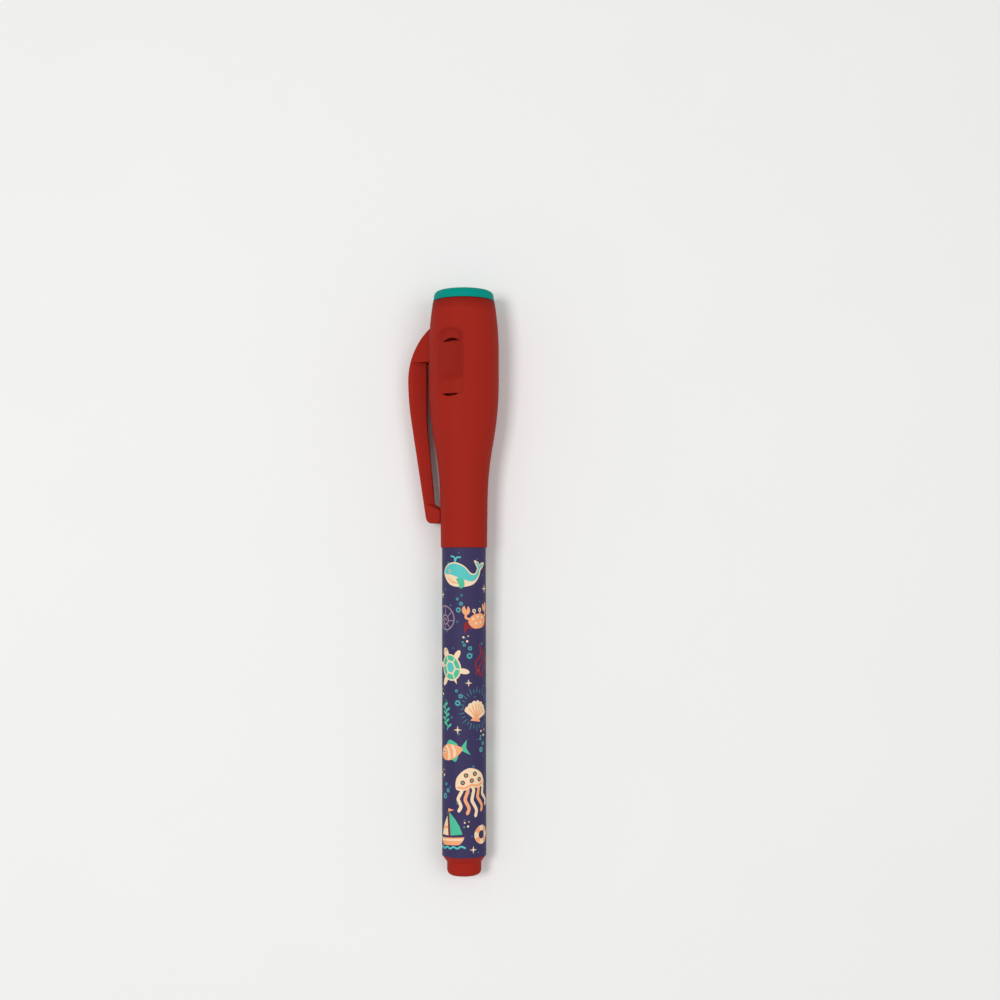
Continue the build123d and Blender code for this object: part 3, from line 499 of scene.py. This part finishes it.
def life_ring():
    """A ring in alternating quarters."""
    quarters = []
    for start in (22, 112, 202, 292):
        angles = [math.radians(start + 46 * step / 6) for step in range(7)]
        outer = [(2.5 * math.cos(angle), 2.5 * math.sin(angle)) for angle in angles]
        inner = [(1.1 * math.cos(angle), 1.1 * math.sin(angle)) for angle in angles]
        quarters.append(panel("peach", *outer, *inner[::-1]))
    return [oval("cream", 0, 0, 5.0), *quarters, oval(GROUND, 0, 0, 2.2)]


def kelp():
    """A stem of seaweed with leaves to both sides."""
    stem = [(0.5 * math.sin(1.2 * height), height) for height in range(-5, 6)]
    leaves = [
        oval("mint", x + side * 1.0, height + 0.5, 2.2, 0.9, lean=side * 32)
        for (x, height), side in zip(stem[1:-1], [1, -1] * 5)
    ]
    return [ribbon("mint", 0.45, *stem), *leaves]


def jellyfish():
    """A spotted jellyfish with trailing arms."""
    arms = []
    for arm in range(5):
        x = arm - 2
        ink = "peach" if arm % 2 else "cream"
        end = -5.2 + 0.7 * abs(x)
        sway = [
            (x * (1 + 0.08 * step) + 0.3 * math.sin(1.6 * step), 0.5 + (end - 0.5) * step / 6)
            for step in range(7)
        ]
        arms.append(ribbon(ink, 0.6, *sway))
    spots = [(-1.5, 1.1), (-0.7, 2.3), (0.2, 1.2), (1.0, 2.3), (1.8, 1.1)]
    return [
        *arms,
        blob(
            "cream", (-2.9, 0.2), (-2.3, 2.3), (0, 3.5), (2.3, 2.3),
            (2.9, 0.2), (1.4, -0.3), (0, 0), (-1.4, -0.3),
        ),
        *[oval(ink, x, y, size) for x, y in spots for ink, size in (("maroon", 0.85), ("mint", 0.4))],
        ribbon("peach", 0.4, (-2.5, 0.4), (-1.3, 0.1), (0, 0.4), (1.3, 0.1), (2.5, 0.4)),
    ]


def whale():
    """A whale with a pale belly that blows a spout."""
    spouts = [
        ribbon("aqua", 0.35, (-1.7, 2.9), (-1.7 + side * 0.3, 3.9), (-1.7 + side * 1.2, 4.1))
        for side in (-1, 1)
    ]
    grooves = [
        ribbon("peach", 0.22, (-3.3 + step, -0.9 - 0.25 * step), (-2.0 + step, -1.9), (0.2 + step, -2.0))
        for step in (0, 1)
    ]
    return [
        *spouts,
        blob("cream", (4.3, 1.6), (2.8, 3.7), (4.0, 3.5), (4.5, 3.0), (5.0, 3.5), (6.2, 3.5), (4.9, 1.6)),
        blob(
            "cream", (-4.7, -0.3), (-4.0, 1.8), (-1.8, 2.8), (0.6, 2.2), (2.4, 0.8), (3.5, 0.9), (4.0, 2.2),
            (4.9, 2.1), (4.6, 0.1), (3.2, -1.8), (0.6, -2.7), (-2.4, -2.5),
        ),
        blob("aqua", (4.4, 2.0), (3.3, 3.4), (4.1, 3.2), (4.5, 2.7), (5.0, 3.2), (5.7, 3.2), (4.7, 2.0)),
        blob(
            "aqua", (-4.4, -0.1), (-3.8, 1.6), (-1.8, 2.5), (0.6, 1.9), (2.3, 0.5), (3.6, 0.6), (4.2, 2.0),
            (4.6, 2.0), (4.3, 0.2), (3.0, -1.1), (0.6, -0.9), (-2.2, -0.2),
        ),
        *grooves,
        blob("mint", (-0.9, -0.9), (0.7, -0.8), (1.2, -2.2), (0.4, -3.1), (-0.3, -2.0)),
        oval("cream", -3.0, 0.6, 0.7),
        oval(GROUND, -3.05, 0.6, 0.4),
    ]


def turtle():
    """A turtle seen from above."""
    limbs = [
        oval("cream", side * 2.5, height, 2.7, 1.2, lean=side * slant)
        for side in (-1, 1)
        for height, slant in ((1.7, 35), (-2.0, -35))
    ]
    angles = [math.radians(60 * step + 30) for step in range(6)]
    corners = [Vector((1.2 * math.cos(angle), 1.5 * math.sin(angle))) for angle in angles]
    return [
        *limbs,
        oval("cream", 0, 3.5, 1.7, 2.2),
        oval(GROUND, -0.4, 3.9, 0.35),
        oval(GROUND, 0.4, 3.9, 0.35),
        panel("cream", (-0.4, -2.7), (0.4, -2.7), (0, -4.0)),
        oval("cream", 0, 0, 5.0, 6.0),
        oval("mint", 0, 0, 4.4, 5.4),
        *[ribbon("cream", 0.25, corner, 1.7 * corner) for corner in corners],
        panel("cream", *[1.15 * corner for corner in corners]),
        panel("aqua", *[0.85 * corner for corner in corners]),
    ]


def spiral_shell():
    """A coiled shell in outline."""

    def coil(turns):
        angle = 2 * math.pi * turns
        return 0.4 * 2.6**turns * Vector((math.cos(angle), math.sin(angle)))

    ribs = [ribbon("lilac", 0.2, coil(step / 8 - 1), coil(step / 8)) for step in range(11, 20)]
    return [ribbon("lilac", 0.3, *[coil(step / 8) for step in range(20)]), *ribs]


def rays():
    """A ring of short strokes."""
    strokes = []
    for step in range(28):
        angle = 2 * math.pi * step / 28
        way = Vector((math.cos(angle), 1.15 * math.sin(angle)))
        strokes.append(ribbon("dusk", 0.24, 3.7 * way, (4.5 + 0.5 * (step % 2)) * way))
    return strokes


def weed():
    """Wavy strokes side by side."""
    strokes = []
    for lane in (-1, 0, 1):
        heights = range(-3, 4 - lane)
        line = [(1.2 * lane + 0.45 * math.sin(1.3 * height + lane), height) for height in heights]
        strokes.append(ribbon("maroon", 0.42, *line))
    return strokes


def bubbles():
    """Three rings that rise."""
    rings = [(0, -1.2, 1.5), (0.7, 0.4, 1.1), (-0.3, 1.6, 0.8)]
    layers = [("dusk", 1), ("aqua", 0.7), (GROUND, 0.45)]
    return [oval(ink, x, y, part * size) for x, y, size in rings for ink, part in layers]


def sparkle():
    """A four-pointed glint."""
    return [star("cream", 1.3, 0.32, 4)]


def dots():
    """A loose group of dots."""
    return [
        oval("cream", -0.8, 0.5, 0.6),
        oval("peach", 0.6, 0.8, 0.5),
        oval("cream", 0.3, -0.7, 0.7),
        oval("mint", -1.0, -0.9, 0.5),
    ]


# Where each motif goes: x, y, size and lean in degrees
layout = [
    (rays, 3.3, -1.6, 0.88, 0),
    (whale, -0.7, 29.4, 1.0, -7),
    (spiral_shell, -5.0, 18.8, 1.0, 0),
    (crab, 3.7, 18.8, 0.86, 8),
    (turtle, -3.3, 8.0, 1.06, 24),
    (weed, 4.7, 9.0, 1.0, -14),
    (shell, 3.3, -1.8, 0.86, -8),
    (kelp, -4.7, -3.4, 0.62, 6),
    (fish, -3.0, -11.4, 0.88, 14),
    (jellyfish, 1.9, -19.6, 1.28, 9),
    (sailboat, -3.7, -29.4, 0.82, 4),
    (life_ring, 4.7, -30.6, 0.86, 0),
    (lighthouse, 12.2, 28.8, 0.90, 4),
    (shell, 12.3, 17.8, 0.9, -10),
    (sailboat, 12.1, 7.2, 0.84, 3),
    (crab, 12.2, -4.4, 0.84, 5),
    (turtle, 12.0, -14.6, 0.85, 8),
    (fish, 12.1, -23.6, 0.84, -8),
    (life_ring, 12.2, -31.6, 0.85, 0),
    (crab, -12.2, 31.2, 0.80, 6),
    (kelp, -12.3, 20.2, 0.88, 5),
    (fish, -12.1, 9.8, 0.84, 12),
    (sailboat, -12.2, -0.6, 0.84, -4),
    (life_ring, -12.4, -10.6, 0.95, 0),
    (jellyfish, -12.1, -19.4, 0.84, -5),
    (lighthouse, -12.2, -31.4, 0.72, 2),
    (bubbles, -1.2, 22.4, 0.9, 0),
    (bubbles, 1.0, 11.8, 1.0, 20),
    (bubbles, -1.4, 1.0, 1.0, 0),
    (bubbles, 4.6, -10.0, 0.9, 0),
    (bubbles, -4.8, -20.6, 1.0, -15),
    (bubbles, 8.2, 24.4, 0.8, 0),
    (sparkle, 6.0, 26.2, 0.8, 0),
    (sparkle, -6.4, 24.8, 0.7, 0),
    (sparkle, 1.2, 4.4, 0.7, 0),
    (sparkle, -1.4, -6.4, 0.8, 0),
    (sparkle, 2.3, -33.9, 0.7, 0),
    (sparkle, -8.3, -24.0, 0.8, 0),
    (dots, 0.6, 14.6, 0.8, 0),
    (dots, -6.6, 2.0, 0.8, 40),
    (dots, 5.2, -7.2, 0.8, 0),
    (dots, -6.0, -16.6, 0.8, 30),
    (dots, 0.8, -28.0, 0.7, 0),
    (dots, 8.2, 33.0, 0.8, 0),
    (waves, 8.3, -15.0, 0.36, 0),
    (waves, -8.3, 34.2, 0.36, 0),
    (waves, 8.3, 4.8, 0.36, 0),
]


def counter_clockwise(outline):
    """An outline in the turning sense that the triangulation needs."""
    area = sum(a.x * b.y - b.x * a.y for a, b in zip(outline, outline[1:] + outline[:1]))
    return outline if area > 0 else outline[::-1]


def drift(width, length):
    """Tiny bubbles spread evenly over the sheet."""
    patches = []
    for index in range(DRIFT_COUNT):
        x = ((index * DRIFT_STEP) % 1 - 0.5) * (width - 2 * DRIFT_MARGIN)
        y = ((index + 0.5) / DRIFT_COUNT - 0.5) * (length - 2 * DRIFT_MARGIN)
        patches.append(oval("dusk", x, y, 0.3 + 0.1 * (index % 4)))
    return patches


def painted(width, length):
    """Every patch of the print, placed on the sheet."""
    patches = drift(width, length)
    for motif, x, y, size, lean in layout:
        turn = Matrix.Rotation(math.radians(lean), 2) * size
        for ink, outline in motif():
            patches.append((ink, [Vector((x, y)) + turn @ point for point in outline]))
    return patches


def inked_triangles(width, length):
    """Triangles of the sheet that carry ink: their corners and the topmost ink of each."""
    corners, patches, inks = [], [], []
    for ink, outline in painted(width, length):
        patches.append(range(len(corners), len(corners) + len(outline)))
        corners += counter_clockwise(outline)
        inks.append(ink)
    folds = []
    facets = math.ceil(width / PRINT_FACET)
    for step in range(facets + 1):
        x = width * (step / facets - 0.5)
        folds.append((len(corners), len(corners) + 1))
        corners += [Vector((x, -length / 2)), Vector((x, length / 2))]
    points, _, triangles, _, _, covers = delaunay_2d_cdt(
        corners, folds, [list(patch) for patch in patches], WHOLE_HULL, JOIN_DISTANCE, True
    )
    inked = [(triangle, inks[max(cover)]) for triangle, cover in zip(triangles, covers) if cover]
    return points, [(triangle, ink) for triangle, ink in inked if ink != GROUND]


def barrel_print():
    """The ink on the sleeve, as one thin shell wrapped round it."""
    grip = next(mount for mount in frame["record"]["mounts"] if mount["name"] == "barrel_grip")
    centre, along = Vector(grip["pos_m"]), Vector(grip["axis"])
    radius, length = grip["dims"]["r_mm"], grip["dims"]["length_mm"]
    sideways = Vector((0, 1, 0))
    upright = along.cross(sideways)
    points, triangles = inked_triangles(2 * math.pi * radius, length)

    def wrap(point, height):
        angle = point.x / radius
        out = upright * math.cos(angle) + sideways * math.sin(angle)
        return centre + (out * (radius + height) - along * point.y) * MM

    shape = bmesh.new()
    used = sorted({corner for triangle, _ in triangles for corner in triangle})
    top = {corner: shape.verts.new(wrap(points[corner], PRINT_PROUD)) for corner in used}
    bottom = {corner: shape.verts.new(wrap(points[corner], -PRINT_DEPTH)) for corner in used}
    names = list(INKS)
    edge_owner = {}
    for triangle, ink in triangles:
        for skin, order in ((top, triangle), (bottom, triangle[::-1])):
            face = shape.faces.new([skin[corner] for corner in order])
            face.material_index = names.index(ink)
            face.smooth = True
        for start, end in zip(triangle, triangle[1:] + triangle[:1]):
            edge_owner[start, end] = names.index(ink)
    for (start, end), ink_index in edge_owner.items():
        if (end, start) not in edge_owner:
            wall = shape.faces.new([top[end], top[start], bottom[start], bottom[end]])
            wall.material_index = ink_index
    mesh = bpy.data.meshes.new("barrel_print")
    shape.to_mesh(mesh)
    shape.free()
    mesh.set_sharp_from_angle(angle=math.radians(PRINT_SHARP_ANGLE))
    for name, base in INKS.items():
        mesh.materials.append(printed(f"ink_{name}", base, INK_ROUGHNESS))
    piece = bpy.data.objects.new("barrel_print", mesh)
    bpy.context.scene.collection.objects.link(piece)
    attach(piece, "pen")


barrel_print()

# Floor
floor_mesh = bpy.data.meshes.new("floor")
half = FLOOR_SIZE / 2
floor_mesh.from_pydata(
    [(-half, -half, 0), (half, -half, 0), (half, half, 0), (-half, half, 0)], [], [(0, 1, 2, 3)]
)
floor = bpy.data.objects.new("floor", floor_mesh)
floor_mesh.materials.append(painted_floor())
bpy.context.scene.collection.objects.link(floor)


def soft_box(name, place, size, power):
    """A square lamp that looks at the pen."""
    lamp = bpy.data.lights.new(name, "AREA")
    lamp.size = size
    lamp.energy = power
    holder = bpy.data.objects.new(name, lamp)
    holder.location = place
    holder.rotation_euler = (-place).to_track_quat("-Z", "Y").to_euler()
    bpy.context.scene.collection.objects.link(holder)


soft_box("key_light", KEY_PLACE, KEY_SIZE, KEY_POWER)
soft_box("fill_light", FILL_PLACE, FILL_SIZE, FILL_POWER)

world = bpy.data.worlds.new("studio")
world.use_nodes = True
world.node_tree.nodes["Background"].inputs["Color"].default_value = (1, 1, 1, 1)
world.node_tree.nodes["Background"].inputs["Strength"].default_value = WORLD_STRENGTH
bpy.context.scene.world = world

# Camera
camera = bpy.data.cameras.new("camera")
camera.lens = CAMERA_LENS
camera_holder = bpy.data.objects.new("camera", camera)
back = (CAMERA_PLACE - CAMERA_AIM).normalized()
up = back.cross(CAMERA_RIGHT).normalized()
camera_holder.matrix_world = Matrix.LocRotScale(
    CAMERA_PLACE, Matrix((up.cross(back), up, back)).transposed().to_quaternion(), None
)
bpy.context.scene.collection.objects.link(camera_holder)
bpy.context.scene.camera = camera_holder
bpy.context.scene.view_settings.view_transform = "Standard"
